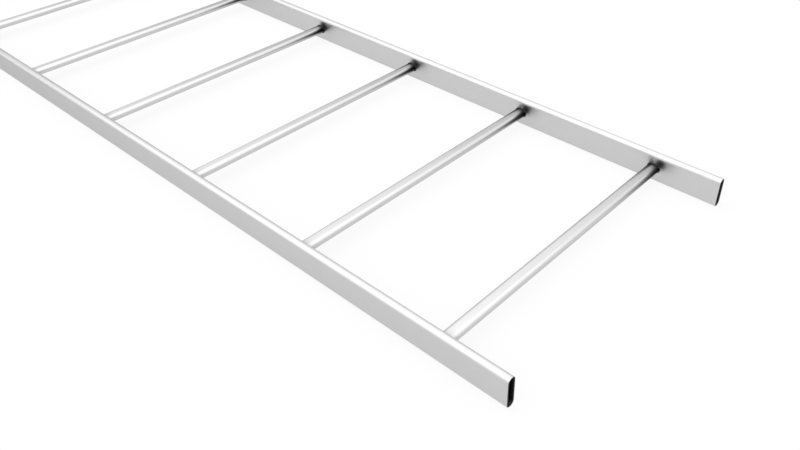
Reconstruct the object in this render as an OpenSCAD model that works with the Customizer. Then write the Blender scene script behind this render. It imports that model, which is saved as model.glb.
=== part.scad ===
// Cable ladder section: two flat-oval tubular side rails joined by flat-oval tubular rungs, each
// rung butted square against the rails' inner faces and fillet-welded all round at both ends.
// Millimetres. X runs along the rails to the front end, Y across to the left rail and Z up. The
// origin is the middle of the ladder's footprint, on the plane that the rails lie on.

/* [Ladder] */
// Overall width, over the outer faces of the two rails
ladder_width = 600; // [200:10:900]
// Number of rungs
rung_count = 10; // [2:1:18]
// Distance from one rung's centre to the next
rung_spacing = 300; // [150:10:400]
// Length of rail past the centre of the first rung, at the front end
front_overhang = 125; // [50:5:250]
// Length of rail past the centre of the last rung, at the back end
back_overhang = 175; // [50:5:250]

/* [Side rails] */
// Height of a rail, over its domed top and bottom edges
rail_height = 56; // [45:1:120]
// Thickness of a rail, over its two flat sides
rail_thickness = 15; // [10:0.5:25]
// Wall thickness of a rail
rail_wall = 2; // [1.2:0.1:4]

/* [Rungs] */
// Width of a rung along the ladder, over its two rounded edges
rung_width = 24; // [20:1:40]
// Height of a rung, over its flat top and bottom
rung_height = 15; // [10:0.5:18]
// Wall thickness of a rung
rung_wall = 1.5; // [1:0.1:3]
// Leg of the fillet weld that runs round each end of a rung
weld_leg = 2; // [1:0.5:4]

/* [Hidden] */

rail_length = front_overhang + (rung_count - 1) * rung_spacing + back_overhang;
rail_offset = (ladder_width - rail_thickness) / 2;
first_rung_x = rail_length / 2 - front_overhang;
rung_length = ladder_width - 2 * rail_thickness;
rung_z = rail_height / 2;

// How far a cutting shape runs past the face that it cuts
cut_margin = 1;
$fn = 96;

// The left rail is on side 1 and the right rail on side -1; rungs are numbered from the front end
function side_name(side) = side > 0 ? "left" : "right";
function two_digits(number) = str(number < 10 ? "0" : "", number);
function rail_name(side) = str("side_rail_", side_name(side));
function rung_name(number) = str("rung_", two_digits(number));
function weld_name(number, side) = str("weld_", two_digits(number), "_", side_name(side));
function rung_x(number) = first_rung_x - (number - 1) * rung_spacing;

// Flat oval centred on the origin: straight along the first axis and closed by two half rounds
module flat_oval(length, width) {
    straight = length - width;
    square([straight, width], center = true);
    for (end = [-1, 1])
        translate([end * straight / 2, 0])
            circle(d = width);
}

// Hollow flat-oval tube along Z, centred on the origin
module flat_oval_tube(length, width, wall, tube_length) {
    difference() {
        linear_extrude(tube_length, center = true)
            flat_oval(length, width);
        linear_extrude(tube_length + 2 * cut_margin, center = true)
            flat_oval(length - 2 * wall, width - 2 * wall);
    }
}

// Section through the weld: one leg out along the rail's face, the other up the tube that it joins
module weld_section() {
    polygon([[0, 0], [weld_leg, 0], [0, weld_leg]]);
}

// Fillet weld round the foot of a flat-oval tube that stands on the plane z = 0
module weld_ring(length, width) {
    straight = length - width;
    for (end = [-1, 1]) {
        translate([end * straight / 2, 0, 0])
            rotate([0, 0, -90 * end])
                rotate_extrude(angle = 180)
                    translate([width / 2, 0])
                        weld_section();
        rotate([90, 0, 90 * end])
            translate([width / 2, 0, 0])
                linear_extrude(straight, center = true)
                    weld_section();
    }
}

// Side rail, standing on its lower domed edge
module side_rail(side) {
    color("gainsboro")
        translate([0, side * rail_offset, rail_height / 2])
            rotate([0, 90, 0])
                flat_oval_tube(rail_height, rail_thickness, rail_wall, rail_length);
}

// Rung between the rails' inner faces, at the middle of their height
module rung(number) {
    color("silver")
        translate([rung_x(number), 0, rung_z])
            rotate([90, 0, 0])
                flat_oval_tube(rung_width, rung_height, rung_wall, rung_length);
}

// Weld between one end of a rung and the rail on that side
module weld(number, side) {
    color("darkgray")
        translate([rung_x(number), side * rung_length / 2, rung_z])
            rotate([90 * side, 0, 0])
                weld_ring(rung_width, rung_height);
}

for (side = [1, -1])
    side_rail(side);
for (number = [1:rung_count])
    rung(number);
for (number = [1:rung_count], side = [1, -1])
    weld(number, side);
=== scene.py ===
import math

import bmesh
import bpy
from mathutils import Euler, Matrix, Vector


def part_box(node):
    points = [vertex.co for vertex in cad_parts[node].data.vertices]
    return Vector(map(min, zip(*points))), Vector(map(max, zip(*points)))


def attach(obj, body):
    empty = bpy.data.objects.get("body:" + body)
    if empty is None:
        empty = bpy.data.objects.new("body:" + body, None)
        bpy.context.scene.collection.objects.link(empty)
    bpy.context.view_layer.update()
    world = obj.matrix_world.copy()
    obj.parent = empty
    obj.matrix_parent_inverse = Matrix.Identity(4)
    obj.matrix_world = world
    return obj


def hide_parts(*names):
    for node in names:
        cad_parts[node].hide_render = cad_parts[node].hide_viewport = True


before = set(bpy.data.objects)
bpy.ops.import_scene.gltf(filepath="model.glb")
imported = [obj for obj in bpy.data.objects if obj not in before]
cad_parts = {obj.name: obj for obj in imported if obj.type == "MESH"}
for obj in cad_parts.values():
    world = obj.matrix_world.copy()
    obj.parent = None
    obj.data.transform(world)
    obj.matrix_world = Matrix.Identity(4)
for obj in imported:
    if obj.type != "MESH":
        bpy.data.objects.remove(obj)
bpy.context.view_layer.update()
print("frame loaded")

railNames = sorted(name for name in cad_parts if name.startswith("side_rail_"))
rungNames = sorted(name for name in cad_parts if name.startswith("rung_"))
weldNames = sorted(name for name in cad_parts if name.startswith("weld_"))


def nodeCentre(node):
    low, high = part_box(node)
    return (low + high) / 2


def nodeSize(node):
    low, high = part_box(node)
    return high - low


railSize = nodeSize(railNames[0])
rungSize = nodeSize(rungNames[0])
firstRung = nodeCentre(rungNames[0])
rungSpacing = firstRung.x - nodeCentre(rungNames[1]).x
innerFaceY = rungSize.y / 2
rungStraight = (rungSize.x - rungSize.z) / 2  # half of a rung's flat, between its two half rounds
millimetres = 1000.0
smoothAngle = 40


def newPiece(name, build, materials):
    # faces outwards, smooth except at sharp edges, place kept in the mesh
    bmesh.ops.recalc_face_normals(build, faces=build.faces)
    mesh = bpy.data.meshes.new(name)
    build.to_mesh(mesh)
    build.free()
    for polygon in mesh.polygons:
        polygon.use_smooth = True
    mesh.set_sharp_from_angle(angle=math.radians(smoothAngle))
    for material in materials:
        mesh.materials.append(material)
    piece = bpy.data.objects.new(name, mesh)
    bpy.context.scene.collection.objects.link(piece)
    return piece


def standFor(piece, node):
    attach(piece, "root")
    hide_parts(node)


cornerShare = 0.99999  # of the half width; a whole one would make the corner points meet
mergeDistance = 1e-6


def flatOvalLoop(build, length, width, segments, height=0.0, straightCuts=0):
    # a rectangle whose corners are rounded until its short ends are half rounds; returns its edges
    others = set(build.faces)
    corners = [build.verts.new((x * length / 2, y * width / 2, height))
               for x, y in ((-1, -1), (1, -1), (1, 1), (-1, 1))]
    build.faces.new(corners)
    rounded = bmesh.ops.bevel(build, geom=corners, offset=width / 2 * cornerShare,
                              offset_type="OFFSET", segments=segments, profile=0.5,
                              affect="VERTICES", material=-1)
    bmesh.ops.remove_doubles(build, verts=rounded["verts"], dist=mergeDistance)
    face = next(face for face in build.faces if face not in others)
    edges = list(face.edges)
    bmesh.ops.delete(build, geom=[face], context="FACES_ONLY")
    if straightCuts:
        straights = sorted(edges, key=lambda edge: edge.calc_length())[-2:]
        cut = bmesh.ops.subdivide_edges(build, edges=straights, cuts=straightCuts)
        edges = [edge for edge in edges if edge not in straights]
        edges += [item for item in cut["geom_split"] if isinstance(item, bmesh.types.BMEdge)]
    return edges


tubeSorting = {"endFacing": 0.9, "boreShare": 0.7, "rimAngle": 60, "breakSegments": 2}


def flatOvalTube(length, width, style, tubeLength):
    # tube along Z with deburred ends; bore faces take material 1, cut ends material 2
    wall = style["wall"]
    build = bmesh.new()
    outer = flatOvalLoop(build, length, width, style["segments"], -tubeLength / 2)
    inner = flatOvalLoop(build, length - 2 * wall, width - 2 * wall, style["segments"], -tubeLength / 2)
    ring = bmesh.ops.bridge_loops(build, edges=outer + inner)["faces"]
    grown = bmesh.ops.extrude_face_region(build, geom=ring)["geom"]
    bmesh.ops.translate(build, vec=(0, 0, tubeLength),
                        verts=[item for item in grown if isinstance(item, bmesh.types.BMVert)])
    bmesh.ops.recalc_face_normals(build, faces=build.faces)
    straight = (length - width) / 2
    for face in build.faces:
        centre = face.calc_center_median()
        fromAxis = math.hypot(max(abs(centre.x) - straight, 0), centre.y)
        if abs(face.normal.z) > tubeSorting["endFacing"]:
            face.material_index = 2
        elif fromAxis < width / 2 - wall * tubeSorting["boreShare"]:
            face.material_index = 1
    rimAngle = math.radians(tubeSorting["rimAngle"])
    rims = [edge for edge in build.edges if edge.calc_face_angle(0) > rimAngle]
    bmesh.ops.bevel(build, geom=rims, offset=style["edgeBreak"], offset_type="OFFSET",
                    segments=tubeSorting["breakSegments"], profile=0.5, affect="EDGES", material=-1)
    return build


# shader helpers: a node with its inputs given as values or as other nodes' outputs
def addNode(tree, kind, inputs=None, **settings):
    node = tree.nodes.new(kind)
    for name, value in settings.items():
        setattr(node, name, value)
    for name, value in (inputs or {}).items():
        if isinstance(value, bpy.types.NodeSocket):
            tree.links.new(value, node.inputs[name])
        else:
            node.inputs[name].default_value = value
    return node


def maths(tree, operation, *values, clamp=False):
    node = addNode(tree, "ShaderNodeMath", dict(enumerate(values)), operation=operation, use_clamp=clamp)
    return node.outputs[0]


def vectorMaths(tree, operation, *values, output=0):
    node = addNode(tree, "ShaderNodeVectorMath", dict(enumerate(values)), operation=operation)
    return node.outputs[output]


def rangeOf(tree, value, fromMin, fromMax, toMin=0.0, toMax=1.0, interpolation="LINEAR"):
    node = addNode(tree, "ShaderNodeMapRange", {"Value": value, "From Min": fromMin, "From Max": fromMax,
                                                "To Min": toMin, "To Max": toMax},
                   interpolation_type=interpolation)
    return node.outputs["Result"]


def newGroup(name, inputs, outputs):
    group = bpy.data.node_groups.new(name, "ShaderNodeTree")
    for socketName, kind, value in inputs:
        socket = group.interface.new_socket(socketName, in_out="INPUT", socket_type=kind)
        if value is not None:
            socket.default_value = value
    for socketName, kind in outputs:
        group.interface.new_socket(socketName, in_out="OUTPUT", socket_type=kind)
    return group, group.nodes.new("NodeGroupInput").outputs, group.nodes.new("NodeGroupOutput").inputs


def placeGroup(tree, group, inputs):
    return addNode(tree, "ShaderNodeGroup", inputs, node_tree=group).outputs


def newMaterial(name):
    material = bpy.data.materials.new(name)
    material.use_nodes = True
    tree = material.node_tree
    tree.nodes.clear()
    return material, tree


def objectPosition(tree):
    return addNode(tree, "ShaderNodeTexCoord").outputs["Object"]


def noise(tree, position, scale, detail, roughness):
    return addNode(tree, "ShaderNodeTexNoise", {"Vector": position, "Scale": scale, "Detail": detail,
                                                "Roughness": roughness}).outputs["Fac"]


def mixColors(tree, share, first, second):
    return addNode(tree, "ShaderNodeMix", {"Factor": share, "A": first, "B": second},
                   data_type="RGBA").outputs["Result"]


def bumpFrom(tree, height, strength, distance):
    return addNode(tree, "ShaderNodeBump", {"Height": height, "Strength": strength,
                                            "Distance": distance}).outputs["Normal"]


def seenOrMirrored(tree):
    # 1 for what the camera sees directly, in a mirror or through glass
    path = addNode(tree, "ShaderNodeLightPath").outputs
    seen = maths(tree, "MAXIMUM", path["Is Camera Ray"], path["Is Glossy Ray"])
    return maths(tree, "MAXIMUM", seen, path["Is Transmission Ray"])


def finishMaterial(tree, **inputs):
    shader = addNode(tree, "ShaderNodeBsdfPrincipled",
                     {name.replace("_", " "): value for name, value in inputs.items()})
    addNode(tree, "ShaderNodeOutputMaterial", {"Surface": shader.outputs["BSDF"]})


drawnLook = {"lineScale": 1100.0, "patchScale": 26.0, "patchTone": 0.012, "patchRoughness": 0.025,
             "lineRoughness": 0.02}


# fine lines and slow unevenness of drawn aluminium; Stretch is small along the drawing direction
def buildDrawnFinish():
    group, given, result = newGroup("drawnFinish", [
        ("Position", "NodeSocketVector", None),
        ("Stretch", "NodeSocketVector", (1, 1, 1)),
        ("Roughness", "NodeSocketFloat", 0.3),
        ("Line Depth", "NodeSocketFloat", 0.04)], [
        ("Tone", "NodeSocketFloat"), ("Roughness", "NodeSocketFloat"), ("Height", "NodeSocketFloat")])
    stretched = vectorMaths(group, "MULTIPLY", given["Position"], given["Stretch"])
    lines = noise(group, stretched, drawnLook["lineScale"], 3.0, 0.6)
    patches = noise(group, given["Position"], drawnLook["patchScale"], 4.0, 0.55)
    lineTone = rangeOf(group, lines, 0.3, 0.7, -1.0, 1.0)
    patchTone = rangeOf(group, patches, 0.3, 0.7, -1.0, 1.0)
    tone = maths(group, "MULTIPLY_ADD", lineTone, given["Line Depth"], 1.0)
    tone = maths(group, "MULTIPLY_ADD", patchTone, drawnLook["patchTone"], tone)
    group.links.new(tone, result["Tone"])
    uneven = maths(group, "MULTIPLY_ADD", patchTone, drawnLook["patchRoughness"], given["Roughness"])
    uneven = maths(group, "MULTIPLY_ADD", lineTone, drawnLook["lineRoughness"], uneven)
    group.links.new(uneven, result["Roughness"])
    group.links.new(lines, result["Height"])
    return group


# place by the nearest joint, in millimetres: Along and Up from the rung's centre line, In from the
# rail's inner face; Side is 1 at the left rail and -1 at the right one
def buildJointPlace():
    group, given, result = newGroup("jointPlace", [("Position", "NodeSocketVector", None)], [
        ("Along", "NodeSocketFloat"), ("Up", "NodeSocketFloat"), ("In", "NodeSocketFloat"),
        ("Side", "NodeSocketFloat")])
    axes = addNode(group, "ShaderNodeSeparateXYZ", {"Vector": given["Position"]}).outputs
    shifted = maths(group, "SUBTRACT", axes["X"], firstRung.x)
    wrapped = maths(group, "WRAP", shifted, rungSpacing / 2, -rungSpacing / 2)
    group.links.new(maths(group, "MULTIPLY", wrapped, millimetres), result["Along"])
    rise = maths(group, "SUBTRACT", axes["Z"], firstRung.z)
    group.links.new(maths(group, "MULTIPLY", rise, millimetres), result["Up"])
    inwards = maths(group, "SUBTRACT", innerFaceY, maths(group, "ABSOLUTE", axes["Y"]))
    group.links.new(maths(group, "MULTIPLY", inwards, millimetres), result["In"])
    group.links.new(maths(group, "SIGN", axes["Y"]), result["Side"])
    return group


# tone and breakup of the painted shade at the joints
paintedShadeLook = {"shadeBreakupScale": 240.0, "thinnest": 0.85, "thickest": 1.15, "shadeTone": (0.006, 0.006, 0.007, 1),
             "dullest": 0.5}


# painted shade at the rung joints, standing in for the dark reflections there: an amount of 0 leaves the
# metal bare, 1 is already dark, 4 black
def buildPaintedShade():
    group, given, result = newGroup("paintedShade", [
        ("Position", "NodeSocketVector", None),
        ("Color", "NodeSocketColor", (0.6, 0.6, 0.6, 1)),
        ("Roughness", "NodeSocketFloat", 0.3),
        ("Density", "NodeSocketFloat", 0.0)], [
        ("Color", "NodeSocketColor"), ("Roughness", "NodeSocketFloat")])
    shadeBreakup = noise(group, given["Position"], paintedShadeLook["shadeBreakupScale"], 3.0, 0.6)
    patchy = rangeOf(group, shadeBreakup, 0.3, 0.7, paintedShadeLook["thinnest"], paintedShadeLook["thickest"])
    broken = maths(group, "MULTIPLY", given["Density"], patchy)
    unshadedShare = maths(group, "EXPONENT", maths(group, "MULTIPLY", broken, -1.0))
    group.links.new(mixColors(group, unshadedShare, paintedShadeLook["shadeTone"], given["Color"]), result["Color"])
    dull = rangeOf(group, unshadedShare, 0.0, 1.0, paintedShadeLook["dullest"], 0.0)
    dulled = maths(group, "MAXIMUM", given["Roughness"], dull)
    group.links.new(dulled, result["Roughness"])
    return group


drawnFinish = buildDrawnFinish()
jointPlace = buildJointPlace()
paintedShade = buildPaintedShade()


def nearness(tree, distance, width):
    # 1 at no distance, fading as a bell curve of that width
    ratio = maths(tree, "DIVIDE", distance, width)
    squared = maths(tree, "MULTIPLY", ratio, ratio)
    return maths(tree, "EXPONENT", maths(tree, "MULTIPLY", squared, -1.0))


def finishDrawnMetal(tree, style, position, paintedShadeAmount):
    # drawn aluminium with painted shade of that amount on it
    drawn = placeGroup(tree, drawnFinish, {"Position": position, "Stretch": style["stretch"],
                                           "Roughness": style["roughness"],
                                           "Line Depth": style["lineDepth"]})
    toned = addNode(tree, "ShaderNodeVectorMath", {0: style["color"], "Scale": drawn["Tone"]},
                    operation="SCALE").outputs[0]
    surface = placeGroup(tree, paintedShade, {"Position": position, "Color": toned,
                                        "Roughness": drawn["Roughness"], "Density": paintedShadeAmount})
    finishMaterial(tree, Base_Color=surface["Color"], Metallic=1.0, Roughness=surface["Roughness"],
                   Specular_Tint=style["edgeTint"],
                   Normal=bumpFrom(tree, drawn["Height"], style["lineStrength"], style["lineHeight"]))


railFinish = {"color": (0.600, 0.602, 0.600), "roughness": 0.33, "lineDepth": 0.02,
              "stretch": (0.004, 1.0, 1.0), "lineHeight": 0.00001, "lineStrength": 0.3,
              "edgeTint": (0.7, 0.7, 0.7, 1), "innerSide": (-1.2, -0.1), "crownEdge": (21.5, 19.5),
              "shadeCentre": (11.5, 11.5, 0.0), "shadeWidth": 8.6, "shadeStrength": 2.8,
              "outerShadeCentre": (24.0, 19.0, 0.0), "outerShadeWidth": 15.0, "outerShadeStrength": 0.5}


def makeRailMetal():
    style = railFinish
    material, tree = newMaterial("satinRailAluminium")
    position = objectPosition(tree)
    place = placeGroup(tree, jointPlace, {"Position": position})
    point = addNode(tree, "ShaderNodeCombineXYZ", {"X": place["Along"], "Y": place["Up"]}).outputs[0]
    # painted shade stands above each joint on the rail's inner face, leaning a little towards the front end
    fromShadeCentre = vectorMaths(tree, "DISTANCE", point, style["shadeCentre"], output="Value")
    fromOuterShadeCentre = vectorMaths(tree, "DISTANCE", point, style["outerShadeCentre"], output="Value")
    paintedShadeAmount = maths(tree, "MULTIPLY", nearness(tree, fromShadeCentre, style["shadeWidth"]),
                    style["shadeStrength"])
    paintedShadeAmount = maths(tree, "MULTIPLY_ADD", nearness(tree, fromOuterShadeCentre, style["outerShadeWidth"]),
                    style["outerShadeStrength"], paintedShadeAmount)
    onInnerSide = rangeOf(tree, place["In"], *style["innerSide"], interpolation="SMOOTHSTEP")
    belowCrown = rangeOf(tree, place["Up"], *style["crownEdge"], interpolation="SMOOTHSTEP")
    paintedShadeAmount = maths(tree, "MULTIPLY", paintedShadeAmount, maths(tree, "MULTIPLY", onInnerSide, belowCrown))
    finishDrawnMetal(tree, style, position, paintedShadeAmount)
    return material


rungFinish = {"color": (0.610, 0.612, 0.610), "roughness": 0.33, "lineDepth": 0.02,
              "stretch": (1.0, 0.004, 1.0), "lineHeight": 0.00001, "lineStrength": 0.3,
              "edgeTint": (0.7, 0.7, 0.7, 1), "farEdge": (-1.5, -5.5),
              "nearReach": 31.0, "nearShadeStrength": 7.0, "nearAngle": 0.31, "nearSpread": 0.40,
              "farReach": 20.0, "farShadeStrength": 4.2, "footReach": 5.0, "footShadeStrength": 2.6}


def makeRungMetal():
    style = rungFinish
    material, tree = newMaterial("satinRungAluminium")
    position = objectPosition(tree)
    place = placeGroup(tree, jointPlace, {"Position": position})

    def fade(reach, amount):
        decay = maths(tree, "EXPONENT", maths(tree, "DIVIDE", place["In"], -reach))
        return maths(tree, "MULTIPLY", decay, amount)

    # painted shade runs in from the left rail along both flanks and leaves the crown nearly bare; a short
    # band of it lies at both ends
    fromNose = maths(tree, "SUBTRACT", place["Along"], rungStraight * millimetres)
    angle = maths(tree, "ARCTAN2", place["Up"], fromNose)
    onNear = nearness(tree, maths(tree, "SUBTRACT", angle, style["nearAngle"]), style["nearSpread"])
    onFar = rangeOf(tree, place["Along"], *style["farEdge"], interpolation="SMOOTHSTEP")
    flankShade = maths(tree, "MULTIPLY", onFar, fade(style["farReach"], style["farShadeStrength"]))
    flankShade = maths(tree, "MULTIPLY_ADD", onNear, fade(style["nearReach"], style["nearShadeStrength"]), flankShade)
    leftOnly = maths(tree, "GREATER_THAN", place["Side"], 0.0)
    paintedShadeAmount = maths(tree, "MULTIPLY_ADD", flankShade, leftOnly, fade(style["footReach"], style["footShadeStrength"]))
    finishDrawnMetal(tree, style, position, paintedShadeAmount)
    return material


weldFinish = {"dark": (0.012, 0.012, 0.013, 1), "light": (0.06, 0.058, 0.055, 1), "dropScale": 900.0,
              "dropHeight": 0.0001, "roughness": (0.35, 0.55), "metallic": 0.8}


def makeWeldMetal():
    style = weldFinish
    material, tree = newMaterial("darkWeldMetal")
    drops = noise(tree, objectPosition(tree), style["dropScale"], 4.0, 0.6)
    color = mixColors(tree, rangeOf(tree, drops, 0.35, 0.7), style["dark"], style["light"])
    finishMaterial(tree, Base_Color=color, Metallic=style["metallic"],
                   Roughness=rangeOf(tree, drops, 0.3, 0.7, *style["roughness"]),
                   Normal=bumpFrom(tree, drops, 0.5, style["dropHeight"]))
    return material


boreFinish = {"mouthShade": 0.05, "deepShade": 0.012, "fadeDepth": 0.03, "speckScale": 420.0,
              "roughness": (0.4, 0.5)}


def makeBoreMetal():
    # unpolished inside of the tube, with painted shade that deepens with depth
    style = boreFinish
    material, tree = newMaterial("boreWithPaintedShade")
    position = objectPosition(tree)
    axes = addNode(tree, "ShaderNodeSeparateXYZ", {"Vector": position}).outputs
    depth = maths(tree, "SUBTRACT", railSize.x / 2, maths(tree, "ABSOLUTE", axes["X"]))
    specks = noise(tree, position, style["speckScale"], 3.0, 0.6)
    shade = rangeOf(tree, depth, 0.0, style["fadeDepth"], style["mouthShade"], style["deepShade"])
    shade = maths(tree, "MULTIPLY", shade, rangeOf(tree, specks, 0.3, 0.7, 0.8, 1.2))
    color = addNode(tree, "ShaderNodeCombineColor", {"Red": shade, "Green": shade, "Blue": shade})
    finishMaterial(tree, Base_Color=color.outputs["Color"], Metallic=1.0,
                   Roughness=rangeOf(tree, specks, 0.3, 0.7, *style["roughness"]))
    return material


cutFinish = {"dark": (0.02, 0.02, 0.02, 1), "light": (0.05, 0.05, 0.05, 1), "markScale": 2600.0,
             "stretch": (1.0, 0.08, 1.0), "markHeight": 0.00004, "roughness": (0.38, 0.46)}


def makeCutMetal():
    # dark sawn ends with fine blade marks
    style = cutFinish
    material, tree = newMaterial("sawnEnd")
    stretched = vectorMaths(tree, "MULTIPLY", objectPosition(tree), style["stretch"])
    marks = noise(tree, stretched, style["markScale"], 2.0, 0.5)
    color = mixColors(tree, rangeOf(tree, marks, 0.3, 0.7), style["dark"], style["light"])
    finishMaterial(tree, Base_Color=color, Metallic=1.0,
                   Roughness=rangeOf(tree, marks, 0.3, 0.7, *style["roughness"]),
                   Normal=bumpFrom(tree, marks, 0.4, style["markHeight"]))
    return material


railMetal = makeRailMetal()
rungMetal = makeRungMetal()
weldMetal = makeWeldMetal()
boreMetal = makeBoreMetal()
cutMetal = makeCutMetal()
print("materials made")


railTube = {"wall": 0.002, "segments": 16, "edgeBreak": 0.0003}


def makeRail(node):
    build = flatOvalTube(railSize.z, railSize.y, railTube, railSize.x)
    place = Matrix.Translation(nodeCentre(node)) @ Matrix.Rotation(math.radians(90), 4, "Y")
    bmesh.ops.transform(build, matrix=place, verts=build.verts)
    standFor(newPiece(node + "_tube", build, [railMetal, boreMetal, cutMetal]), node)


rungTube = {"wall": 0.0015, "segments": 16, "edgeBreak": 0.0002}


def makeRung(node):
    build = flatOvalTube(rungSize.x, rungSize.z, rungTube, rungSize.y)
    place = Matrix.Translation(nodeCentre(node)) @ Matrix.Rotation(math.radians(90), 4, "X")
    bmesh.ops.transform(build, matrix=place, verts=build.verts)
    standFor(newPiece(node + "_tube", build, [rungMetal, boreMetal, cutMetal]), node)


weldBead = {"leg": 0.0014, "crown": 0.0002, "rippleDepth": 0.00018, "ripplePitch": 0.0016,
            "crescentShare": 0.6, "sectionSteps": 6, "roundSegments": 26, "straightCuts": 17}


def makeWeld(node):
    # loops from the toe on the rail's face up to the toe on the rung, bridged, then rippled
    style = weldBead
    leg, pitch = style["leg"], style["ripplePitch"]
    build = bmesh.new()
    loops = []
    for step in range(style["sectionSteps"] + 1):
        up = step / style["sectionSteps"]
        bulge = style["crown"] * math.sin(math.pi * up)
        out = leg * (1 - up) + bulge
        loops.append(flatOvalLoop(build, rungSize.x + 2 * out, rungSize.z + 2 * out,
                                  style["roundSegments"], leg * up + bulge, style["straightCuts"]))
    # the hidden root, in the corner between rung and rail, closes the bead
    loops.append(flatOvalLoop(build, rungSize.x, rungSize.z, style["roundSegments"], 0.0,
                              style["straightCuts"]))
    for lower, upper in zip(loops, loops[1:] + loops[:1]):
        bmesh.ops.bridge_loops(build, edges=lower + upper)
    for vert in build.verts:
        up = min(max(vert.co.z / leg, 0), 1)
        beyond = math.copysign(max(abs(vert.co.x) - rungStraight, 0), vert.co.x)
        angle = math.atan2(vert.co.y, beyond)
        onFlat = max(min(vert.co.x, rungStraight), -rungStraight) * math.copysign(1, -vert.co.y)
        along = angle * rungSize.z / 2 + onFlat
        crescent = (2 * up - 1) ** 2 * pitch * style["crescentShare"]
        ripple = abs(math.sin(math.pi * (along + crescent) / pitch)) * math.sin(math.pi * up)
        outwards = Vector((math.cos(angle), math.sin(angle), 1)).normalized()
        vert.co += outwards * style["rippleDepth"] * ripple
    side = 1 if node.endswith("left") else -1
    rungCentre = nodeCentre("rung_" + node.split("_")[1])
    place = (Matrix.Translation((rungCentre.x, side * innerFaceY, rungCentre.z))
             @ Matrix.Rotation(math.radians(90 * side), 4, "X"))
    bmesh.ops.transform(build, matrix=place, verts=build.verts)
    standFor(newPiece(node + "_bead", build, [weldMetal]), node)


for name in railNames:
    makeRail(name)
for name in rungNames:
    makeRung(name)
print("rails and rungs made")
for name in weldNames:
    makeWeld(name)
print("weld beads made")


studio = {"floorSize": 60.0, "floorColor": (0.9, 0.9, 0.9, 1), "shadowShare": 0.15, "ambient": 0.6,
          "white": (1, 1, 1, 1)}

# broad soft panels; each adds its radiance to the white studio, and the grey flag takes some away
panels = {"nearPanel": {"size": (29.6, 20.0), "centre": (-1.7, -9.4, 8.0), "turn": (0, 0, 36),
                        "radiance": 0.42},
          "widePanel": {"size": (90.4, 43.4), "centre": (-3.4, -29.2, 8.2), "turn": (0, 0, 62),
                        "radiance": 0.36},
          "lowPanel": {"size": (24.0, 7.0), "centre": (-34.0, -16.0, 3.5), "turn": (90, 0, -65),
                       "radiance": 0.9}}
greyFlag = {"size": (30.0, 12.0), "centre": (-36.0, 27.0, 10.0), "turn": (90, 0, 53), "radiance": 0.78}


def makeFloor():
    build = bmesh.new()
    bmesh.ops.create_grid(build, x_segments=1, y_segments=1, size=studio["floorSize"])
    mesh = bpy.data.meshes.new("studioFloor")
    build.to_mesh(mesh)
    build.free()
    floor = bpy.data.objects.new("studioFloor", mesh)
    bpy.context.scene.collection.objects.link(floor)
    # white where it is seen or mirrored, apart from a share that takes the object's shadow
    material, tree = newMaterial("floorPaint")
    paint = addNode(tree, "ShaderNodeBsdfDiffuse", {"Color": studio["floorColor"]})
    glow = addNode(tree, "ShaderNodeEmission", {"Color": studio["white"], "Strength": 1.0})
    blend = addNode(tree, "ShaderNodeMixShader",
                    {"Fac": maths(tree, "MULTIPLY", seenOrMirrored(tree), 1 - studio["shadowShare"]),
                     1: paint.outputs["BSDF"], 2: glow.outputs["Emission"]})
    addNode(tree, "ShaderNodeOutputMaterial", {"Surface": blend.outputs[0]})
    mesh.materials.append(material)


def makeLights():
    world = bpy.data.worlds.new("studioWorld")
    bpy.context.scene.world = world
    world.use_nodes = True
    tree = world.node_tree
    tree.nodes.clear()
    level = rangeOf(tree, seenOrMirrored(tree), 0.0, 1.0, studio["ambient"], 1.0)
    sky = addNode(tree, "ShaderNodeBackground", {"Color": studio["white"], "Strength": level})
    addNode(tree, "ShaderNodeOutputWorld", {"Surface": sky.outputs["Background"]})
    for name, style in panels.items():
        width, depth = style["size"]
        lamp = bpy.data.lights.new(name, "AREA")
        lamp.shape = "RECTANGLE"
        lamp.size, lamp.size_y = width, depth
        lamp.energy = style["radiance"] * math.pi * width * depth
        panel = bpy.data.objects.new(name, lamp)
        panel.location = style["centre"]
        panel.rotation_euler = [math.radians(turn) for turn in style["turn"]]
        bpy.context.scene.collection.objects.link(panel)


def makeFlag():
    # off to the far left, unseen by the camera, it draws the thin grey line along each rung's back edge
    width, height = greyFlag["size"]
    build = bmesh.new()
    bmesh.ops.create_grid(build, x_segments=1, y_segments=1, size=0.5)
    bmesh.ops.scale(build, vec=(width, height, 1), verts=build.verts)
    turn = [math.radians(angle) for angle in greyFlag["turn"]]
    place = Matrix.Translation(greyFlag["centre"]) @ Euler(turn).to_matrix().to_4x4()
    bmesh.ops.transform(build, matrix=place, verts=build.verts)
    mesh = bpy.data.meshes.new("greyFlag")
    build.to_mesh(mesh)
    build.free()
    flag = bpy.data.objects.new("greyFlag", mesh)
    flag.visible_camera = False
    flag.visible_diffuse = False
    bpy.context.scene.collection.objects.link(flag)
    material, tree = newMaterial("flagCloth")
    glow = addNode(tree, "ShaderNodeEmission", {"Color": studio["white"], "Strength": greyFlag["radiance"]})
    addNode(tree, "ShaderNodeOutputMaterial", {"Surface": glow.outputs["Emission"]})
    mesh.materials.append(material)


cameraPlace = {"position": (1.8844, -0.8451, 0.8267), "downTilt": 38.046, "heading": 48.764,
               "lens": 35.595, "shift": (-0.0659, -0.0011), "sensorWidth": 36, "clipEnd": 200}


def makeCamera():
    camera = bpy.data.cameras.new("camera")
    camera.sensor_width = cameraPlace["sensorWidth"]
    camera.lens = cameraPlace["lens"]
    camera.shift_x, camera.shift_y = cameraPlace["shift"]
    camera.clip_end = cameraPlace["clipEnd"]
    holder = bpy.data.objects.new("camera", camera)
    holder.location = cameraPlace["position"]
    holder.rotation_euler = (math.radians(90 - cameraPlace["downTilt"]), 0,
                             math.radians(90 - cameraPlace["heading"]))
    bpy.context.scene.collection.objects.link(holder)
    bpy.context.scene.camera = holder


makeFloor()
makeLights()
makeFlag()
makeCamera()
bpy.context.scene.view_settings.view_transform = "Standard"
print("stage, lights and camera set")
